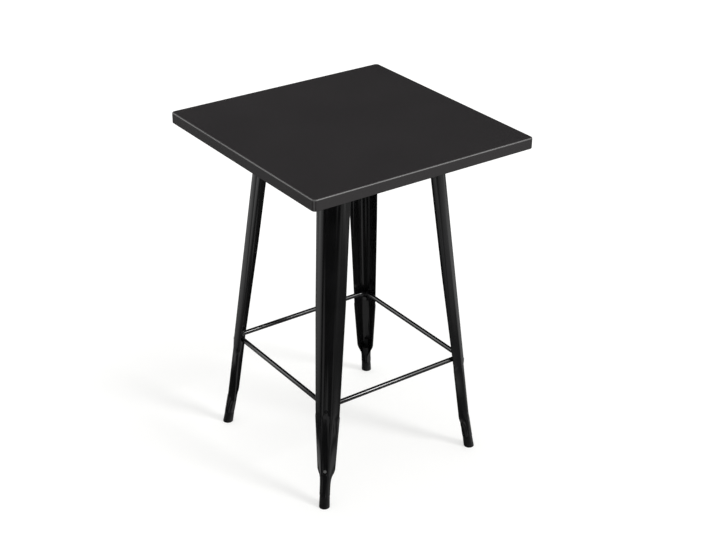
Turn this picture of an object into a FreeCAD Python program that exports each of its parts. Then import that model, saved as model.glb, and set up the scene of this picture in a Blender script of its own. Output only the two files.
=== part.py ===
# Bar-height pub table: a folded steel top on four splayed pressed-steel legs,
# tied together near the floor by a square footrest of round rod.
# Millimetres, +Z up, origin on the floor under the middle of the top.
import FreeCAD, Part
import math
import os

from FreeCAD import Vector

# Table top: a sheet-steel pan, open below, with a return lip round its rim
TABLE_HEIGHT = 1003.0
TOP_SIDE = 705.0
TOP_DEPTH = 31.5
TOP_SHEET = 1.2
TOP_CORNER_R = 11.0
TOP_ARRIS = 2.0
TOP_LIP = 16.0

# Hat-section braces welded inside the pan, over the apron rails
BRACE_WIDTH = 40.0
BRACE_FLANGE = 15.0
BRACE_SHEET = 1.5
BRACE_GAP = 0.5

# Apron rails: folded channels between the tops of the legs
RAIL_DEPTH = 60.0
RAIL_FLANGE = 34.0
RAIL_LIP = 12.0
RAIL_SHEET = 2.0
RAIL_CORNER_GAP = 2.0

# Legs: tapering channels pressed from sheet, the ridge facing out along the diagonal
LEG_SHEET = 1.6
LEG_TOP_GAP = 0.5
LEG_TOP_REACH = 253.8
LEG_SPLAY = 0.1308
NECK_SPLAY = 0.18
LEG_TOP_NOSE_R = 37.0
LEG_TOP_FLANGE = 30.2
LEG_MID_FLANGE = 29.9
LEG_MID_SHARE = 0.55
LEG_LOW_NOSE_R = 25.5
LEG_LOW_FLANGE = 24.7
EDGE_LIP = 3.6
LIP_START_GAP = 6.0
NECK_R = 15.0
NECK_TOP = 60.0
NECK_WRAP = 160.0
CURL_WRAP = 64.0
CURL_RUN = 20.0
CURL_STEPS = 4

# Groove pressed into the ridge of each leg below the footrest
GROOVE_TOP = 288.0
GROOVE_BOTTOM = 96.0
GROOVE_TOP_WIDTH = 25.0
GROOVE_BOTTOM_WIDTH = 16.0
GROOVE_END_SHARE = 0.7
GROOVE_DEPTH = 4.8
GROOVE_WALL = 4.0
GROOVE_CROWN = 0.15
GROOVE_BEND_SHARE = 0.4
GROOVE_TOP_RAMP = 16.0
GROOVE_BOTTOM_RAMP = 11.0

# Ridge radius, wrap of the ridge in degrees and flange run at both ends of the full groove
UPPER_GROOVE_FORM = (24.0, 46.0, 25.3)
LOWER_GROOVE_FORM = (15.5, 58.0, 23.2)

# Footrest: one square of round rod, carried by a hexagonal boss under each corner
RING_HEIGHT = 307.0
ROD_D = 12.0
RING_SIDE_GAP = 6.8
RING_BEND_R = 25.0
RING_BEND_STEPS = 4
BOSS_FLATS = 12.0
BOSS_BACK = 8.0
WELD_GAP = 0.1
BOSS_END_GAP = 0.1

# Feet: rubber boots plugged into the necks and held by a rivet
BOOT_HEIGHT = 37.0
BOOT_BASE_R = 15.2
BOOT_TOP_R = 14.3
PLUG_GAP = 0.6
PLUG_SIDES = 8
TONGUE_WIDTH = 12.0
TONGUE_THICKNESS = 4.0
TONGUE_GAP = 0.3
TONGUE_TOP = 122.0

# Bolts through the leg flanges into threads formed in the rails
LEG_BOLT_D = 8.0
LEG_BOLT_FLATS = 13.0
LEG_BOLT_HEAD = 5.3
LEG_BOLT_END = 6.0
LEG_BOLT_INSET = 50.0
LEG_BOLT_DROP = 32.0
HOLE_GAP = 0.2
THREAD_GAP = 0.05

# Heights and planes worked out from the sizes above
TOP_UNDERSIDE = TABLE_HEIGHT - TOP_DEPTH
FRAME_TOP = TOP_UNDERSIDE + TOP_SHEET
LEG_TOP = FRAME_TOP - LEG_TOP_GAP
RAIL_FOOT = FRAME_TOP - RAIL_DEPTH
LIP_START = RAIL_FOOT - LIP_START_GAP
FLANGE_WRAP = 45.0

CORNERS = ("rear_right", "rear_left", "front_left", "front_right")
SIDES = ("right", "rear", "left", "front")

X_AXIS = Vector(1, 0, 0)
Y_AXIS = Vector(0, 1, 0)
Z_AXIS = Vector(0, 0, 1)
DIAGONAL = Vector(1, -1, 0)


def turned(shape, degrees):
    """A copy of the shape turned about the table's axis."""
    copy = shape.copy()
    copy.rotate(Vector(), Z_AXIS, degrees)
    return copy


def four_round(shape):
    """The shape at all four corners or sides, as one group of separate solids."""
    return Part.makeCompound([turned(shape, 90 * step) for step in range(4)])


def mix(low, high, share):
    return low + (high - low) * share


def prism(corners, run):
    """A straight block on a many-sided outline."""
    return Part.Face(Part.makePolygon(list(corners) + [corners[0]])).extrude(run)


def square_prism(side, corner_r, low, high):
    """An upright square block with rounded corners."""
    block = Part.makeBox(side, side, high - low, Vector(-side / 2, -side / 2, low))
    upright = [edge for edge in block.Edges if edge.BoundBox.ZLength > edge.BoundBox.XLength]
    return block.makeFillet(corner_r, [edge for edge in upright if edge.BoundBox.YLength < 1e-6])


def regular_outline(centre, across, up, reach, count):
    """Corners of a regular outline round a centre, the first of them straight across."""
    turns = [2 * math.pi * step / count for step in range(count)]
    return [centre + across * (reach * math.cos(a)) + up * (reach * math.sin(a)) for a in turns]


def flat_sided(low, high):
    """A solid with flat sides between two outlines that have the same number of corners."""
    outlines = [low, high]
    for corner in range(len(low)):
        outlines.append([low[corner - 1], low[corner], high[corner], high[corner - 1]])
    faces = [Part.Face(Part.makePolygon(outline + outline[:1])) for outline in outlines]
    return Part.makeSolid(Part.makeShell(faces))


def edges_at(shape, height):
    """The edges of a shape that lie flat at one height."""
    flat = 1e-6
    found = []
    for edge in shape.Edges:
        box = edge.BoundBox
        if abs(box.ZMin - height) < flat and abs(box.ZMax - height) < flat:
            found.append(edge)
    return found


def nose_reach(z):
    """Distance of a leg's ridge from the table's axis, along the diagonal."""
    reach = LEG_TOP_REACH + LEG_SPLAY * (FRAME_TOP - z)
    if z < GROOVE_BOTTOM:
        reach += (NECK_SPLAY - LEG_SPLAY) * (GROOVE_BOTTOM - z)
    return reach


def nose_radius(z):
    """Ridge radius of the straight upper leg, changing evenly so that its flanges are flat."""
    share = (FRAME_TOP - z) / (FRAME_TOP - GROOVE_TOP)
    return mix(LEG_TOP_NOSE_R, LEG_LOW_NOSE_R, share)


def face_reach(z):
    """Distance of the outer face of a flat flange from the table's axis."""
    return (nose_reach(z) + (math.sqrt(2) - 1) * nose_radius(z)) / math.sqrt(2)


FACE_SLOPE = (face_reach(GROOVE_TOP) - face_reach(FRAME_TOP)) / (FRAME_TOP - GROOVE_TOP)
FACE_NORMAL = Vector(1, 0, FACE_SLOPE).normalize()

# The pressed form from the top of the groove to the neck: height, ridge radius, wrap of the
# ridge each side of the diagonal, and flange run beyond it
LEG_FORM = (
    (GROOVE_TOP, LEG_LOW_NOSE_R, FLANGE_WRAP, LEG_LOW_FLANGE),
    (GROOVE_TOP - GROOVE_TOP_RAMP, *UPPER_GROOVE_FORM),
    (GROOVE_BOTTOM + GROOVE_BOTTOM_RAMP, *LOWER_GROOVE_FORM),
    (GROOVE_BOTTOM, NECK_R, CURL_WRAP, CURL_RUN),
)


def leg_form(z):
    """Ridge radius, wrap in degrees and flange run at a height."""
    if z >= GROOVE_TOP:
        share = (FRAME_TOP - z) / (FRAME_TOP - GROOVE_TOP)
        if share < LEG_MID_SHARE:
            run = mix(LEG_TOP_FLANGE, LEG_MID_FLANGE, share / LEG_MID_SHARE)
        else:
            run = mix(LEG_MID_FLANGE, LEG_LOW_FLANGE, (share - LEG_MID_SHARE) / (1 - LEG_MID_SHARE))
        return nose_radius(z), FLANGE_WRAP, run
    for upper, lower in zip(LEG_FORM, LEG_FORM[1:]):
        if z >= lower[0]:
            share = (upper[0] - z) / (upper[0] - lower[0])
            return tuple(mix(a, b, share) for a, b in zip(upper[1:], lower[1:]))
    return NECK_R, CURL_WRAP, CURL_RUN


def groove_share(z):
    """How much of its full depth the groove has at a height, easing in at both ends."""
    from_top = (GROOVE_TOP - z) / GROOVE_TOP_RAMP
    from_bottom = (z - GROOVE_BOTTOM) / GROOVE_BOTTOM_RAMP
    share = max(0.0, min(1.0, from_top, from_bottom))
    return share * share * (3 - 2 * share)


def groove_half_width(z):
    share = (z - GROOVE_BOTTOM) / (GROOVE_TOP - GROOVE_BOTTOM)
    half = mix(GROOVE_BOTTOM_WIDTH, GROOVE_TOP_WIDTH, max(0.0, min(1.0, share))) / 2
    return half * mix(GROOVE_END_SHARE, 1.0, groove_share(z))


def leg_section(z):
    """Closed outline of the lipped and grooved sheet at one height, with the diagonal along X."""
    radius, wrap_degrees, run = leg_form(z)
    wrap = math.radians(wrap_degrees)
    centre = nose_reach(z) - radius
    pressed = groove_share(z)

    def skin(r, half_width):
        """Edges of one face of the sheet, from the middle of the ridge to the flange."""

        def ridge(angle):
            return Vector(centre + r * math.cos(angle), r * math.sin(angle), z)

        def arc(start, end):
            return ridge(start), ridge((start + end) / 2), ridge(end)

        rim = math.asin(half_width / r)
        foot = math.asin((half_width - GROOVE_WALL) / r)
        if pressed == 0:
            return [arc(0, foot), arc(foot, rim), arc(rim, wrap)]
        floor = ridge(0) - X_AXIS * (pressed * GROOVE_DEPTH)
        full_edge = Vector(centre + r - GROOVE_DEPTH - GROOVE_CROWN, half_width - GROOVE_WALL, z)
        floor_edge = mix(ridge(foot), full_edge, pressed)
        return [(floor, floor_edge), (floor_edge, ridge(rim)), arc(rim, wrap)]

    outer = skin(radius, groove_half_width(z))
    inner = skin(radius - LEG_SHEET, groove_half_width(z) + GROOVE_BEND_SHARE * LEG_SHEET)

    along = Vector(-math.sin(wrap), math.cos(wrap), 0)
    inward = Vector(-math.cos(wrap), -math.sin(wrap), 0)
    root = outer[-1][-1]
    tip = root + along * run
    lip_end = tip + inward * EDGE_LIP
    lip_root = tip + (inward - along) * LEG_SHEET
    corners = [root, tip, lip_end, lip_end - along * LEG_SHEET, lip_root, inner[-1][-1]]
    chain = outer + list(zip(corners, corners[1:])) + [points[::-1] for points in reversed(inner)]

    def mirrored(point):
        return Vector(point.x, -point.y, point.z)

    def edge(points):
        if len(points) == 2:
            return Part.makeLine(*points)
        return Part.Arc(*points).toShape()

    edges = [edge(points) for points in chain]
    edges += [edge([mirrored(point) for point in reversed(points)]) for points in reversed(chain)]
    return Part.Wire(edges)


def upper_span(high, low, lipped):
    """A straight length of leg: a round ridge between flat flanges, whose edges may be turned in."""

    def root(z):
        return face_reach(z) - nose_radius(z)

    def radii(z):
        return nose_radius(z), nose_radius(z) - LEG_SHEET

    def ridge(z):
        edges = [Part.makeLine(*[Vector(root(z) + r, root(z), z) for r in radii(z)])]
        for r in radii(z):
            edges.append(Part.makeCircle(r, Vector(root(z), root(z), z), Z_AXIS, 0, FLANGE_WRAP))
        edges += [edge.mirror(Vector(), DIAGONAL) for edge in edges]
        return Part.Wire(Part.__sortEdges__(edges))

    def flange(z):
        outside = face_reach(z)
        inside = outside - LEG_SHEET
        tip = root(z) - leg_form(z)[2]
        corners = [(inside, root(z)), (outside, root(z)), (outside, tip)]
        if lipped:
            lip_end = outside - EDGE_LIP
            corners += [(lip_end, tip), (lip_end, tip + LEG_SHEET), (inside, tip + LEG_SHEET)]
        else:
            corners.append((inside, tip))
        return [Vector(x, y, z) for x, y in corners]

    side = flat_sided(flange(low), flange(high))
    ridge_span = Part.makeLoft([ridge(low), ridge(high)], True, True)
    return ridge_span.fuse([side, side.mirror(Vector(), DIAGONAL)])


def neck_centre(z):
    return Vector(nose_reach(z) - NECK_R, 0, z)


def neck_section(z, curl):
    """Outline where the flanges curl round into the neck; a curl of 0 is flat, 1 a round tube."""
    start = math.radians(CURL_WRAP)
    end = math.radians(NECK_WRAP)

    def out(angle):
        return Vector(math.cos(angle), math.sin(angle), 0)

    def on(angle):
        return Vector(-math.sin(angle), math.cos(angle), 0)

    def skin(r):
        """Edges of one face of the sheet, from the ridge to the cut edge."""
        nose, flank, root, tip = [neck_centre(z) + out(a) * r for a in (0, start / 2, start, end)]
        pull = 4 / 3 * math.tan((end - start) / 4) * r
        flat = [root + on(start) * (CURL_RUN * step / 3) for step in range(4)]
        tube = [root, root + on(start) * pull, tip - on(end) * pull, tip]
        curve = Part.BezierCurve()
        curve.setPoles([mix(a, b, curl) for a, b in zip(flat, tube)])
        return [Part.Arc(nose, flank, root).toShape(), curve.toShape()]

    outer = skin(NECK_R)
    inner = skin(NECK_R - LEG_SHEET)
    cut_edge = Part.makeLine(outer[1].Vertexes[-1].Point, inner[1].Vertexes[-1].Point)
    half = outer + [cut_edge] + inner[::-1]
    other = [edge.mirror(Vector(), Y_AXIS) for edge in half]
    return Part.Wire(Part.__sortEdges__(half + other))


def leg_blank():
    """The pressed leg before drilling: plain at the rails, then lipped, grooved and necked."""
    middle = mix(FRAME_TOP, GROOVE_TOP, LEG_MID_SHARE)
    curls = [step / CURL_STEPS for step in range(CURL_STEPS + 1)]
    neck = [neck_section(mix(GROOVE_BOTTOM, NECK_TOP, curl), curl) for curl in curls]
    neck.append(neck_section(BOOT_HEIGHT, 1))
    grooved = Part.makeLoft([leg_section(form[0]) for form in LEG_FORM], True, True)
    lower = grooved.fuse(Part.makeLoft(neck, True, True))
    heights = (LEG_TOP, LIP_START, middle, GROOVE_TOP)
    upper = [upper_span(high, low, high < LEG_TOP) for high, low in zip(heights, heights[1:])]
    return turned(lower, 45).fuse(upper)


os.makedirs("parts", exist_ok=True)


def save(node, shape):
    shape.exportStep("parts/%s.step" % node)


# Table top
sheet_under = TABLE_HEIGHT - TOP_SHEET
pan = square_prism(TOP_SIDE, TOP_CORNER_R, TOP_UNDERSIDE, TABLE_HEIGHT)
pan = pan.makeChamfer(TOP_ARRIS, edges_at(pan, TABLE_HEIGHT))
hollow = square_prism(TOP_SIDE - 2 * TOP_SHEET, TOP_CORNER_R - TOP_SHEET, FRAME_TOP, sheet_under)
mouth_corner = Vector(TOP_LIP - TOP_SIDE / 2, TOP_LIP - TOP_SIDE / 2, TOP_UNDERSIDE - 1)
mouth = Part.makeBox(TOP_SIDE - 2 * TOP_LIP, TOP_SIDE - 2 * TOP_LIP, TOP_SHEET + 2, mouth_corner)
save("table_top", pan.cut(hollow).cut(mouth))

# Braces: two long ones across the whole pan, two short ones between them
rail_face = face_reach(FRAME_TOP) - LEG_SHEET
brace_line = rail_face - RAIL_FLANGE / 2


def brace(length):
    """A hat section along X, its web on the frame's top plane and its flanges against the sheet."""
    half = BRACE_WIDTH / 2
    right = (
        (half, FRAME_TOP),
        (half, sheet_under - BRACE_SHEET),
        (half + BRACE_FLANGE, sheet_under - BRACE_SHEET),
        (half + BRACE_FLANGE, sheet_under),
        (half - BRACE_SHEET, sheet_under),
        (half - BRACE_SHEET, FRAME_TOP + BRACE_SHEET),
    )
    outline = right + tuple((-y, z) for y, z in reversed(right))
    corners = [Vector(-length / 2, y - brace_line, z) for y, z in outline]
    return prism(corners, X_AXIS * length)


long_length = TOP_SIDE - 2 * (TOP_SHEET + BRACE_GAP)
short_length = 2 * (brace_line - BRACE_WIDTH / 2 - BRACE_FLANGE - BRACE_GAP)
for index, side in enumerate(SIDES):
    length = long_length if side in ("rear", "front") else short_length
    save("top_brace_" + side, turned(brace(length), 90 + 90 * index))


# Apron rails
def web_x(z):
    """Outer face of a rail's sloping web, against the inside of the leg flanges."""
    return face_reach(z) - LEG_SHEET


rail_half = face_reach(FRAME_TOP) - LEG_TOP_NOSE_R - RAIL_CORNER_GAP
lip_end = web_x(RAIL_FOOT) - RAIL_LIP
flange_end = rail_face - RAIL_FLANGE
lip_top = RAIL_FOOT + RAIL_SHEET
flange_under = FRAME_TOP - RAIL_SHEET
rail_outline = (
    (lip_end, RAIL_FOOT),
    (web_x(RAIL_FOOT), RAIL_FOOT),
    (rail_face, FRAME_TOP),
    (flange_end, FRAME_TOP),
    (flange_end, flange_under),
    (web_x(flange_under) - RAIL_SHEET, flange_under),
    (web_x(lip_top) - RAIL_SHEET, lip_top),
    (lip_end, lip_top),
)
rail_corners = [Vector(x, -rail_half, z) for x, z in rail_outline]
rail = prism(rail_corners, Y_AXIS * (2 * rail_half))

# A bolt through each leg flange, screwed into the rail behind it
bolt_z = FRAME_TOP - LEG_BOLT_DROP
seat = Vector(face_reach(bolt_z), face_reach(bolt_z) - LEG_BOLT_INSET, bolt_z)
inward = FACE_NORMAL * -1
grip = LEG_SHEET + RAIL_SHEET


def bolt_hole(clearance):
    start = seat - inward
    return Part.makeCylinder(LEG_BOLT_D / 2 + clearance, grip + 2, start, inward)


head = regular_outline(seat, Y_AXIS, inward.cross(Y_AXIS), LEG_BOLT_FLATS / math.sqrt(3), 6)
bolt = prism(head, inward * -LEG_BOLT_HEAD)
bolt = bolt.fuse(Part.makeCylinder(LEG_BOLT_D / 2, grip + LEG_BOLT_END, seat, inward))
save("leg_bolts", Part.makeCompound([four_round(bolt), four_round(bolt.mirror(Vector(), DIAGONAL))]))

rail = rail.cut(bolt_hole(THREAD_GAP)).cut(bolt_hole(THREAD_GAP).mirror(Vector(), Y_AXIS))
for index, side in enumerate(SIDES):
    save("apron_rail_" + side, turned(rail, 90 * index))

leg = leg_blank().cut(bolt_hole(HOLE_GAP)).cut(bolt_hole(HOLE_GAP).mirror(Vector(), DIAGONAL))
for index, corner in enumerate(CORNERS):
    save("leg_" + corner, turned(leg, 90 * index))

# Footrest ring: four straight rods and four quarter bends in short steps
ring_half = face_reach(RING_HEIGHT) - LEG_SHEET - RING_SIDE_GAP - ROD_D / 2
straight = ring_half - RING_BEND_R
bend_start = Vector(ring_half, straight, RING_HEIGHT)
bend_centre = Vector(straight, straight, RING_HEIGHT)
section = Part.Wire(Part.makeCircle(ROD_D / 2, bend_start, Y_AXIS))
rod = Part.Face(section).extrude(Y_AXIS * (-2 * straight))
steps = []
for step in range(RING_BEND_STEPS + 1):
    steps.append(section.copy())
    steps[-1].rotate(bend_centre, Z_AXIS, 90 * step / RING_BEND_STEPS)
bend = Part.makeLoft(steps, True, True)
ring_pieces = [turned(piece, 90 * step) for step in range(4) for piece in (rod, bend)]
save("footrest_ring", ring_pieces[0].fuse(ring_pieces[1:]))

# Bosses welded under the ring's corners, square to the legs' ridges
ridge_out = Vector(1, 0, LEG_SPLAY).normalize()
ring_corner = math.sqrt(2) * straight + RING_BEND_R
boss_drop = ((ROD_D + BOSS_FLATS) / 2 + WELD_GAP) / ridge_out.x
boss_start = Vector(ring_corner, 0, RING_HEIGHT - boss_drop) - ridge_out * BOSS_BACK
to_ridge = (nose_reach(boss_start.z) - boss_start.x) * ridge_out.x
nose_r = leg_form(boss_start.z)[0] - LEG_SHEET
boss_reach = BOSS_FLATS / math.sqrt(3)
hollow_of_nose = nose_r - math.sqrt(nose_r ** 2 - boss_reach ** 2)
boss_length = to_ridge - LEG_SHEET - hollow_of_nose - BOSS_END_GAP
boss_outline = regular_outline(boss_start, Y_AXIS, ridge_out.cross(Y_AXIS), boss_reach, 6)
boss = prism(boss_outline, ridge_out * boss_length)
save("footrest_bosses", four_round(turned(boss, 45)))

# Feet: boot, plug and tongue moulded in one, leaning with the neck
plug_r = NECK_R - LEG_SHEET - PLUG_GAP
plug_top = GROOVE_BOTTOM


def plug_outline(z):
    corners = regular_outline(neck_centre(z), X_AXIS, Y_AXIS, plug_r, PLUG_SIDES)
    return Part.makePolygon(corners + corners[:1])


boot_rims = ((0, BOOT_BASE_R), (BOOT_HEIGHT, BOOT_TOP_R))
boot = Part.makeLoft([Part.Wire(Part.makeCircle(r, neck_centre(z))) for z, r in boot_rims], True, True)
plug = Part.makeLoft([plug_outline(BOOT_HEIGHT - 1), plug_outline(plug_top)], True, True)
tongue_face = nose_reach(plug_top) - LEG_SHEET - GROOVE_DEPTH - TONGUE_GAP
tongue_lean = LEG_SPLAY * (TONGUE_TOP - plug_top)
tongue_corners = [
    Vector(tongue_face, -TONGUE_WIDTH / 2, plug_top),
    Vector(tongue_face - tongue_lean, -TONGUE_WIDTH / 2, TONGUE_TOP),
    Vector(tongue_face - tongue_lean - TONGUE_THICKNESS, -TONGUE_WIDTH / 2, TONGUE_TOP),
    Vector(tongue_face - TONGUE_THICKNESS, -TONGUE_WIDTH / 2, plug_top),
]
tongue = prism(tongue_corners, Y_AXIS * TONGUE_WIDTH)
foot = boot.fuse(plug).fuse(tongue)
for index, corner in enumerate(CORNERS):
    save("foot_" + corner, turned(foot, 45 + 90 * index))
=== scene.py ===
import math

import bpy
from mathutils import Matrix, Vector


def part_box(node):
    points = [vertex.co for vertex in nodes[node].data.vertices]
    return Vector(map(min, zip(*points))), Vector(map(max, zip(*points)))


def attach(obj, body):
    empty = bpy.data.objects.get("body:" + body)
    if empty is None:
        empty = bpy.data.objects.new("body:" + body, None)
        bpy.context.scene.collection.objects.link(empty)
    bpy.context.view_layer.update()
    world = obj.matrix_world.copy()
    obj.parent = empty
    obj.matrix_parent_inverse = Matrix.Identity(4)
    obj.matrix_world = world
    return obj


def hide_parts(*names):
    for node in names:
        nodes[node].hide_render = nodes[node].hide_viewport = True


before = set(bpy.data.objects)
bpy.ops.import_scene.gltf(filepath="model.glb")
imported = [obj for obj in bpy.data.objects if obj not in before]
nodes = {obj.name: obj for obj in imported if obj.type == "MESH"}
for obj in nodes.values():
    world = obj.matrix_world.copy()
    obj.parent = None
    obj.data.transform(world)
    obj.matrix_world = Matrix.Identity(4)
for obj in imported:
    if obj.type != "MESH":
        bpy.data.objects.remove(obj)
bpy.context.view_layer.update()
bpy.context.scene.view_settings.view_transform = "Standard"


# Table top: one sheet of steel folded into a shallow pan, welded at its corners and
# dressed to a small radius along the upper arris. Matte charcoal powder coat, a little
# smoother on the arris, where the coat runs thin. The arris and the rounded corners are
# coloured far lighter, as a painted highlight, and the upright sides a little lighter, as
# painted light.
def coating(name, fine, broad, spread, relief):
    """A coat whose tone and dullness drift with a broad noise, under a fine bumpy grain.

    fine and broad are the scale and detail of the two noises, spread the part of the
    broad one that the tone covers, and relief the strength and distance of the bump.
    """
    material = bpy.data.materials.new(name)
    material.use_nodes = True
    tree = material.node_tree
    shader = tree.nodes["Principled BSDF"]
    place = tree.nodes.new("ShaderNodeTexCoord")
    grain = tree.nodes.new("ShaderNodeTexNoise")
    drift = tree.nodes.new("ShaderNodeTexNoise")
    for noise, (scale, detail) in ((grain, fine), (drift, broad)):
        noise.inputs["Scale"].default_value = scale
        noise.inputs["Detail"].default_value = detail
        tree.links.new(place.outputs["Object"], noise.inputs["Vector"])
    tone = tree.nodes.new("ShaderNodeValToRGB")
    tone.color_ramp.elements[0].position = spread[0]
    tone.color_ramp.elements[1].position = spread[1]
    dull = tree.nodes.new("ShaderNodeMapRange")
    bump = tree.nodes.new("ShaderNodeBump")
    bump.inputs["Strength"].default_value = relief[0]
    bump.inputs["Distance"].default_value = relief[1]
    tree.links.new(drift.outputs["Fac"], tone.inputs["Fac"])
    tree.links.new(tone.outputs["Color"], shader.inputs["Base Color"])
    tree.links.new(drift.outputs["Fac"], dull.inputs["Value"])
    tree.links.new(dull.outputs["Result"], shader.inputs["Roughness"])
    tree.links.new(grain.outputs["Fac"], bump.inputs["Height"])
    tree.links.new(bump.outputs["Normal"], shader.inputs["Normal"])
    return material


def variant(material, name):
    """A copy of a coat under its own name, to be changed."""
    copy = material.copy()
    copy.name = name
    return copy


def tint(material, darkest, lightest):
    """Sets both ends of a coat's tone."""
    tone = next(node for node in material.node_tree.nodes if node.type == "VALTORGB")
    tone.color_ramp.elements[0].color = (*darkest, 1)
    tone.color_ramp.elements[1].color = (*lightest, 1)


def polish(material, smoothest, dullest):
    """Sets both ends of a coat's roughness."""
    dull = next(node for node in material.node_tree.nodes if node.type == "MAP_RANGE")
    dull.inputs["To Min"].default_value = smoothest
    dull.inputs["To Max"].default_value = dullest


def set_shader(material, socket, value):
    """Sets one plain value of a coat's shader."""
    material.node_tree.nodes["Principled BSDF"].inputs[socket].default_value = value


powder = coating(
    "matte_powder_coat", fine=(1400, 3), broad=(5, 4), spread=(0.3, 0.7), relief=(0.12, 0.0002)
)
tint(powder, (0.0246, 0.0226, 0.0236), (0.0274, 0.0252, 0.0262))
polish(powder, 0.52, 0.60)
set_shader(powder, "Specular IOR Level", 0.16)

# The arris coat is tinted far lighter than the top coat: a painted highlight along the upper
# arris and down the rounded corners.
arris_painted_highlight = variant(powder, "painted_highlight_arris_powder")
tint(arris_painted_highlight, (0.085, 0.083, 0.083), (0.120, 0.118, 0.118))
polish(arris_painted_highlight, 0.24, 0.32)
set_shader(arris_painted_highlight, "Specular IOR Level", 0.5)

# The rim coat is tinted a little lighter than the top coat: painted light on the upright sides of
# the pan.
rim_painted_light_coat = variant(powder, "rim_painted_lighter_powder")
tint(rim_painted_light_coat, (0.0300, 0.0282, 0.0290), (0.0336, 0.0316, 0.0324))

same_place = 1e-5
flat_angle = math.radians(0.4)
soft_crease = math.radians(38)


def welded_copy(node, piece_name):
    """A copy of a CAD node with its loose triangles joined and its flat faces made whole."""
    piece = bpy.data.objects.new(piece_name, nodes[node].data.copy())
    bpy.context.collection.objects.link(piece)
    bpy.ops.object.select_all(action="DESELECT")
    piece.select_set(True)
    bpy.context.view_layer.objects.active = piece
    bpy.ops.object.mode_set(mode="EDIT")
    bpy.ops.mesh.select_all(action="SELECT")
    bpy.ops.mesh.remove_doubles(threshold=same_place)
    bpy.ops.mesh.dissolve_limited(angle_limit=flat_angle)
    bpy.ops.object.mode_set(mode="OBJECT")
    piece.data.materials.clear()
    return piece


def roll_edges(piece, wanted, radius, segments):
    """Rolls the wanted edges of the active piece."""
    bpy.ops.object.mode_set(mode="EDIT")
    bpy.ops.mesh.select_mode(type="EDGE")
    bpy.ops.mesh.select_all(action="DESELECT")
    bpy.ops.object.mode_set(mode="OBJECT")
    for edge in piece.data.edges:
        edge.select = wanted(edge)
    bpy.ops.object.mode_set(mode="EDIT")
    bpy.ops.mesh.bevel(offset=radius, segments=segments, affect="EDGES")
    bpy.ops.object.mode_set(mode="OBJECT")


def round_edges(piece, radius, sharper_than, crease=soft_crease):
    """Rounds the sharp edges of the active piece and shades it smooth up to a crease angle."""
    bevel = piece.modifiers.new("rounded", "BEVEL")
    bevel.width = radius
    bevel.segments = 3
    bevel.limit_method = "ANGLE"
    bevel.angle_limit = sharper_than
    bpy.ops.object.modifier_apply(modifier="rounded")
    bpy.ops.object.shade_smooth_by_angle(angle=crease)


top = welded_copy("table_top", "top_sheet")
top_low, top_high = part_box("table_top")
top_half = top_high[0]
arris_drop = 0.002
arris_radius = 0.0013
corner_reach = 0.012
rim_radius = 0.002
sheet_edge_radius = 0.0004


def on_the_arris(edge):
    """True for both edges of the chamfer round the top."""
    heights = [top.data.vertices[v].co.z for v in edge.vertices]
    levels = (top_high[2], top_high[2] - arris_drop)
    return any(all(abs(z - level) < same_place for z in heights) for level in levels)


def under_the_rim(edge):
    """True for the lower outer edge of the pan, round its corners too."""
    ends = [top.data.vertices[v].co for v in edge.vertices]
    lowest = all(end.z < top_low[2] + same_place for end in ends)
    return lowest and all(max(abs(end.x), abs(end.y)) > top_half - corner_reach for end in ends)


roll_edges(top, on_the_arris, arris_radius, 5)
roll_edges(top, under_the_rim, rim_radius, 4)
round_edges(top, sheet_edge_radius, math.radians(60))
top.modifiers.new("flats", "WEIGHTED_NORMAL").keep_sharp = True
bpy.ops.object.modifier_apply(modifier="flats")

arris_floor = top_high[2] - 0.003
arris_slope = (0.12, 0.985)
corner_floor = top_low[2] + 0.002
corner_slope = 0.6
rim_slope = 0.1
rim_reach = top_half - 0.0005
for coat in (powder, arris_painted_highlight, rim_painted_light_coat):
    top.data.materials.append(coat)
for face in top.data.polygons:
    middle, normal = face.center, face.normal
    on_arris = middle.z > arris_floor and arris_slope[0] < normal.z < arris_slope[1]
    on_corner = middle.z > corner_floor and min(abs(normal.x), abs(normal.y)) > corner_slope
    on_rim = abs(normal.z) < rim_slope and max(abs(middle.x), abs(middle.y)) > rim_reach
    # Faces of the arris and of the rounded corners take the painted highlight, and the upright
    # sides take the painted lighter tone.
    if on_arris or on_corner:
        face.material_index = 1
    elif on_rim:
        face.material_index = 2
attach(top, "root")
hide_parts("table_top")

# Upper frame: hat-section braces spot-welded inside the pan and folded apron rails
# under them, in satin black that only shows from below.
satin = variant(powder, "satin_black_paint")
tint(satin, (0.008, 0.008, 0.0085), (0.012, 0.012, 0.0125))
polish(satin, 0.30, 0.42)


def paint(node, material):
    """Gives a CAD node one material."""
    nodes[node].data.materials.clear()
    nodes[node].data.materials.append(material)


for name in nodes:
    if name.startswith(("top_brace", "apron_rail")):
        paint(name, satin)

# Legs: sheet pressed into a tapering channel, edges turned in, then gloss black powder
# coat with a faint orange peel, which rounds every cut edge a little.
gloss_black = coating(
    "gloss_black_coat", fine=(260, 2), broad=(14, 4), spread=(0.3, 0.7), relief=(0.05, 0.0003)
)
tint(gloss_black, (0.0030, 0.0030, 0.0032), (0.0050, 0.0050, 0.0053))
polish(gloss_black, 0.11, 0.16)

corners = ("rear_right", "rear_left", "front_left", "front_right")
corner_turns = [math.radians(45 + 90 * step) for step in range(len(corners))]
fold_low = 0.0955
fold_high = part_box("apron_rail_front")[0][2] - 0.0055
fold_radius = 0.0033
shortest_fold = 0.008
narrowest_flange = 0.005
leg_edge_radius = 0.0005


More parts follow.
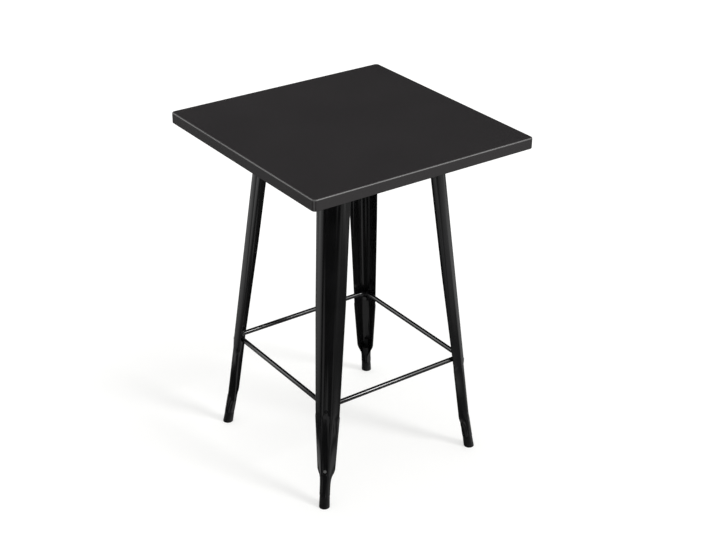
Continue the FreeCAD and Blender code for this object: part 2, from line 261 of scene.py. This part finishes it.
def turned_edges(leg, outward):
    """Keys of the edges where the flanges of a leg turn in to their lips."""
    beside = {}
    for face in leg.data.polygons:
        for key in face.edge_keys:
            beside.setdefault(key, []).append(face)
    found = set()
    for key, faces in beside.items():
        ends = [leg.data.vertices[v].co for v in key]
        heights = [end.z for end in ends]
        run = ends[1] - ends[0]
        if min(heights) < fold_low or max(heights) > fold_high or len(faces) != 2:
            continue
        if run.length < shortest_fold or abs(run.z) < 0.9 * run.length:
            continue
        flange, lip = sorted(faces, key=lambda face: -face.normal.dot(outward))
        faces_out = flange.normal.dot(outward) > 0.4 and lip.normal.dot(outward) < -0.4
        square = abs(flange.normal.dot(lip.normal)) < 0.25
        if faces_out and square and flange.area > narrowest_flange * run.length:
            found.add(key)
    return found


for corner, turn in zip(corners, corner_turns):
    leg = welded_copy("leg_" + corner, "leg_skin_" + corner)
    folds = turned_edges(leg, Vector((math.cos(turn), math.sin(turn), 0)))
    roll_edges(leg, lambda edge: edge.key in folds, fold_radius, 5)
    round_edges(leg, leg_edge_radius, math.radians(50), crease=math.radians(26))
    leg.data.materials.append(gloss_black)
    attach(leg, "root")
    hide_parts("leg_" + corner)

# Leg bolts: hexagon heads of black-plated steel, two to a leg. They go through the
# flanges into the apron rails, just under the top.
plated = variant(satin, "black_plated_steel")
set_shader(plated, "Metallic", 0.6)
paint("leg_bolts", plated)

# Footrest: one square of round bar, bent at the corners, welded to four hexagonal
# bosses and coated with the legs. The bar is drawn a little fuller than its CAD solid,
# to the width that the photograph shows.
bar_coat = variant(gloss_black, "bar_gloss_coat")
polish(bar_coat, 0.08, 0.13)
set_shader(bar_coat, "Specular IOR Level", 0.7)
bar_growth = 0.0009
ring = welded_copy("footrest_ring", "footrest_bar")
bpy.ops.object.mode_set(mode="EDIT")
bpy.ops.mesh.select_all(action="SELECT")
bpy.ops.transform.shrink_fatten(value=bar_growth, use_even_offset=True)
bpy.ops.object.mode_set(mode="OBJECT")
bpy.ops.object.shade_smooth_by_angle(angle=soft_crease)
ring.data.materials.append(bar_coat)
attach(ring, "root")
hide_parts("footrest_ring")
paint("footrest_bosses", bar_coat)

# Footrest screws: low socket heads on the ridges, screwed through into the bosses.
# Turned steel, blackened, sunk a little into the curve of the ridge.
screw_radius = 0.0055
screw_steps = ((0.0017, 1.0), (0.0005, 0.93), (0.0003, 0.86))
screw_height = sum(rise for rise, shrink in screw_steps)
socket_radius = 0.0023
socket_depth = 0.0014
screw_seat = Vector((0.34211, 0, 0.29758))
screw_sink = 0.0020
ridge_lean = math.atan(0.1308)


def raised_ring(radius, steps):
    """A new ring, left open for editing, that is drawn up and in step by step."""
    bpy.ops.object.select_all(action="DESELECT")
    bpy.ops.mesh.primitive_circle_add(vertices=24, radius=radius, fill_type="NOTHING")
    bpy.ops.object.mode_set(mode="EDIT")
    for rise, shrink in steps:
        bpy.ops.mesh.extrude_region_move(TRANSFORM_OT_translate={"value": (0, 0, rise)})
        bpy.ops.transform.resize(value=(shrink, shrink, 1))
    return bpy.context.object


def close_head():
    """Turns all faces of the head in hand outward and shades it smooth."""
    bpy.ops.mesh.select_all(action="SELECT")
    bpy.ops.mesh.normals_make_consistent(inside=False)
    bpy.ops.object.mode_set(mode="OBJECT")
    bpy.ops.object.shade_smooth_by_angle(angle=soft_crease)


def set_in_ridges(head, piece_name, seat, sink):
    """Sets a copy of a head into the ridge of each leg, square to it, and drops the original."""
    tip = Matrix.Rotation(math.radians(90) - ridge_lean, 4, "Y")
    for corner, turn in zip(corners, corner_turns):
        copy = bpy.data.objects.new(piece_name + corner, head.data.copy())
        bpy.context.collection.objects.link(copy)
        place = Matrix.Rotation(turn, 4, "Z") @ Matrix.Translation(seat) @ tip
        copy.data.transform(place @ Matrix.Translation((0, 0, -sink)))
        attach(copy, "root")
    bpy.data.objects.remove(head)


screw = raised_ring(screw_radius, screw_steps)
bpy.ops.mesh.select_all(action="DESELECT")
bpy.ops.mesh.primitive_circle_add(
    vertices=6, radius=socket_radius, fill_type="NOTHING", location=(0, 0, screw_height)
)
bpy.ops.mesh.extrude_region_move(TRANSFORM_OT_translate={"value": (0, 0, -socket_depth)})
bpy.ops.mesh.edge_face_add()
bpy.ops.object.mode_set(mode="OBJECT")
for edge in screw.data.edges:
    ends = [screw.data.vertices[v].co for v in edge.vertices]
    edge.select = all(abs(end.z - screw_height) < same_place for end in ends)
bpy.ops.object.mode_set(mode="EDIT")
bpy.ops.mesh.select_mode(type="EDGE")
bpy.ops.mesh.bridge_edge_loops()
close_head()
screw.data.materials.append(plated)
set_in_ridges(screw, "footrest_screw_", screw_seat, screw_sink)

# Feet: moulded black rubber boots with a dull sheen and a rounded rim where they meet
# the floor, pushed up into the necks on a plug.
rubber = coating("boot_rubber", fine=(700, 4), broad=(60, 5), spread=(0, 1), relief=(0.2, 0.0002))
tint(rubber, (0.0030, 0.0030, 0.0031), (0.0060, 0.0060, 0.0062))
polish(rubber, 0.34, 0.46)
set_shader(rubber, "Specular IOR Level", 0.45)
boot_edge_radius = 0.0018
for corner in corners:
    boot = welded_copy("foot_" + corner, "boot_" + corner)
    round_edges(boot, boot_edge_radius, math.radians(50))
    boot.data.materials.append(rubber)
    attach(boot, "root")
    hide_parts("foot_" + corner)

# Boot rivets: pop rivets low in the grooves, through the leg into the tongue of each
# boot. Pressed steel domes, worn grey, with the broken mandrel sunk in the middle.
rivet_steel = variant(plated, "worn_rivet_steel")
tint(rivet_steel, (0.10, 0.10, 0.10), (0.16, 0.16, 0.16))
set_shader(rivet_steel, "Metallic", 0.3)
rivet_radius = 0.0048
rivet_steps = ((0.0007, 1.0), (0.0006, 0.90), (0.0005, 0.72), (0.0002, 0.55), (-0.0007, 0.90))
rivet_seat = Vector((0.36158, 0, 0.112))
rivet_sink = 0.0002
rivet = raised_ring(rivet_radius, rivet_steps)
bpy.ops.mesh.edge_face_add()
close_head()
rivet.data.materials.append(rivet_steel)
set_in_ridges(rivet, "boot_rivet_", rivet_seat, rivet_sink)

# Floor, light and camera: a pale floor that turns white away from the table, a soft key
# from the right of the camera, and a dark studio, seen by reflections alone, whose
# panels streak the gloss legs.
floor_side = 40
fade_from = 0.6
fade_to = 1.25
white_near = 0.44
white_far = 0.88
white_glow = 1.17
bpy.ops.mesh.primitive_plane_add(size=floor_side)
floor = bpy.context.object
floor.name = "floor"
floor.visible_glossy = False
pale = bpy.data.materials.new("pale_floor")
pale.use_nodes = True
set_shader(pale, "Base Color", (0.955, 0.955, 0.945, 1))
set_shader(pale, "Roughness", 0.9)
set_shader(pale, "Specular IOR Level", 0.1)
tree = pale.node_tree
place = tree.nodes.new("ShaderNodeTexCoord")
away = tree.nodes.new("ShaderNodeVectorMath")
away.operation = "LENGTH"
fade = tree.nodes.new("ShaderNodeMapRange")
fade.interpolation_type = "SMOOTHSTEP"
fade.inputs["From Min"].default_value = fade_from
fade.inputs["From Max"].default_value = fade_to
fade.inputs["To Min"].default_value = white_near
fade.inputs["To Max"].default_value = white_far
ray = tree.nodes.new("ShaderNodeLightPath")
share = tree.nodes.new("ShaderNodeMath")
share.operation = "MULTIPLY"
white = tree.nodes.new("ShaderNodeEmission")
white.inputs["Color"].default_value = (1, 1, 0.99, 1)
white.inputs["Strength"].default_value = white_glow
washed = tree.nodes.new("ShaderNodeMixShader")
under = tree.nodes.new("ShaderNodeNewGeometry")
clear = tree.nodes.new("ShaderNodeBsdfTransparent")
one_sided = tree.nodes.new("ShaderNodeMixShader")
tree.links.new(place.outputs["Object"], away.inputs[0])
tree.links.new(away.outputs["Value"], fade.inputs["Value"])
tree.links.new(ray.outputs["Is Camera Ray"], share.inputs[0])
tree.links.new(fade.outputs["Result"], share.inputs[1])
tree.links.new(share.outputs["Value"], washed.inputs["Fac"])
tree.links.new(tree.nodes["Principled BSDF"].outputs["BSDF"], washed.inputs[1])
tree.links.new(white.outputs["Emission"], washed.inputs[2])
tree.links.new(under.outputs["Backfacing"], one_sided.inputs["Fac"])
tree.links.new(washed.outputs["Shader"], one_sided.inputs[1])
tree.links.new(clear.outputs["BSDF"], one_sided.inputs[2])
tree.links.new(one_sided.outputs["Shader"], tree.nodes["Material Output"].inputs["Surface"])
floor.data.materials.append(pale)

# Panels: turn and rise of the middle, outer reach and full core in degrees, strength
panels = (
    (8, -30, 24, 8, 0.39),
    (88, -6, 36, 14, 0.42),
    (106, -34, 10, 3, 0.5),
    (120, 6, 36, 14, 0.73),
    (122, -20, 12, 5, 0.35),
    (168, -24, 14, 5, 0.45),
    (212, -46, 18, 6, 0.4),
    (256, -36, 11, 3, 0.74),
    (280, -25, 9, 3, 0.35),
    (296, -18, 16, 5, 0.12),
    (304, -12, 11, 3, 0.38),
    (304, -33, 8, 2, 0.8),
    (312, -66, 36, 14, 0.55),
    (320, -6, 16, 5, 0.57),
    (326, -33, 10, 3, 0.55),
    (328, -18, 11, 3, 0.80),
    (336, -6, 36, 14, 0.15),
    (344, -18, 16, 5, 0.77),
    (124, 31, 16, 6, 4.0),
    (312, 40, 26, 14, 4.4),
    (0, 14, 19, 6, 0.8),
    (90, 14, 19, 6, 0.8),
    (180, 14, 19, 6, 0.8),
    (270, 14, 19, 6, 0.8),
)
dark_studio = 0.02
surround = 0.82
world = bpy.data.worlds.new("studio")
bpy.context.scene.world = world
world.use_nodes = True
world.cycles.sampling_method = "NONE"
tree = world.node_tree
tree.nodes["Background"].inputs["Color"].default_value = (1, 1, 1, 1)
tree.nodes["Background"].inputs["Strength"].default_value = surround
ray = tree.nodes.new("ShaderNodeLightPath")
toward = tree.nodes.new("ShaderNodeTexCoord")
total = None
for turn, rise, reach, core, glow in panels:
    level = math.cos(math.radians(rise))
    facing = tree.nodes.new("ShaderNodeVectorMath")
    facing.operation = "DOT_PRODUCT"
    facing.inputs[1].default_value = (
        level * math.cos(math.radians(turn)),
        level * math.sin(math.radians(turn)),
        math.sin(math.radians(rise)),
    )
    panel = tree.nodes.new("ShaderNodeMapRange")
    panel.interpolation_type = "SMOOTHSTEP"
    panel.inputs["From Min"].default_value = math.cos(math.radians(reach))
    panel.inputs["From Max"].default_value = math.cos(math.radians(core))
    panel.inputs["To Max"].default_value = glow
    joined = tree.nodes.new("ShaderNodeMath")
    joined.operation = "ADD"
    joined.inputs[1].default_value = dark_studio
    tree.links.new(toward.outputs["Generated"], facing.inputs[0])
    tree.links.new(facing.outputs["Value"], panel.inputs["Value"])
    tree.links.new(panel.outputs["Result"], joined.inputs[0])
    if total:
        tree.links.new(total.outputs["Value"], joined.inputs[1])
    total = joined
reflected = tree.nodes.new("ShaderNodeBackground")
choose = tree.nodes.new("ShaderNodeMixShader")
seen = tree.nodes.new("ShaderNodeBackground")
seen.inputs["Color"].default_value = (1, 1, 0.995, 1)
behind = tree.nodes.new("ShaderNodeMixShader")
tree.links.new(total.outputs["Value"], reflected.inputs["Strength"])
tree.links.new(ray.outputs["Is Glossy Ray"], choose.inputs["Fac"])
tree.links.new(tree.nodes["Background"].outputs["Background"], choose.inputs[1])
tree.links.new(reflected.outputs["Background"], choose.inputs[2])
tree.links.new(ray.outputs["Is Camera Ray"], behind.inputs["Fac"])
tree.links.new(choose.outputs["Shader"], behind.inputs[1])
tree.links.new(seen.outputs["Background"], behind.inputs[2])
tree.links.new(behind.outputs["Shader"], tree.nodes["World Output"].inputs["Surface"])

key_from = Vector((0.36, -0.68, 0.64))
lamp = bpy.data.lights.new("key", "SUN")
lamp.angle = math.radians(14)
lamp.energy = 1.25
key = bpy.data.objects.new("key", lamp)
bpy.context.collection.objects.link(key)
key.rotation_euler = key_from.to_track_quat("Z", "Y").to_euler()

aim = Vector((0.02047, -0.02013, 0.560))
distance = 3.99064
side = math.radians(-35.84)
climb = math.radians(27.84)
tilt = math.radians(0.6)
lens = bpy.data.cameras.new("camera")
lens.lens = 70.465
lens.sensor_width = 36
lens.sensor_fit = "HORIZONTAL"
camera = bpy.data.objects.new("camera", lens)
bpy.context.collection.objects.link(camera)
level = math.cos(climb)
back = Vector((math.sin(side) * level, -math.cos(side) * level, math.sin(climb)))
upright = back.to_track_quat("Z", "Y").to_matrix()
camera.location = aim + back * distance
camera.rotation_euler = (upright @ Matrix.Rotation(tilt, 3, "Z")).to_euler()
bpy.context.scene.camera = camera
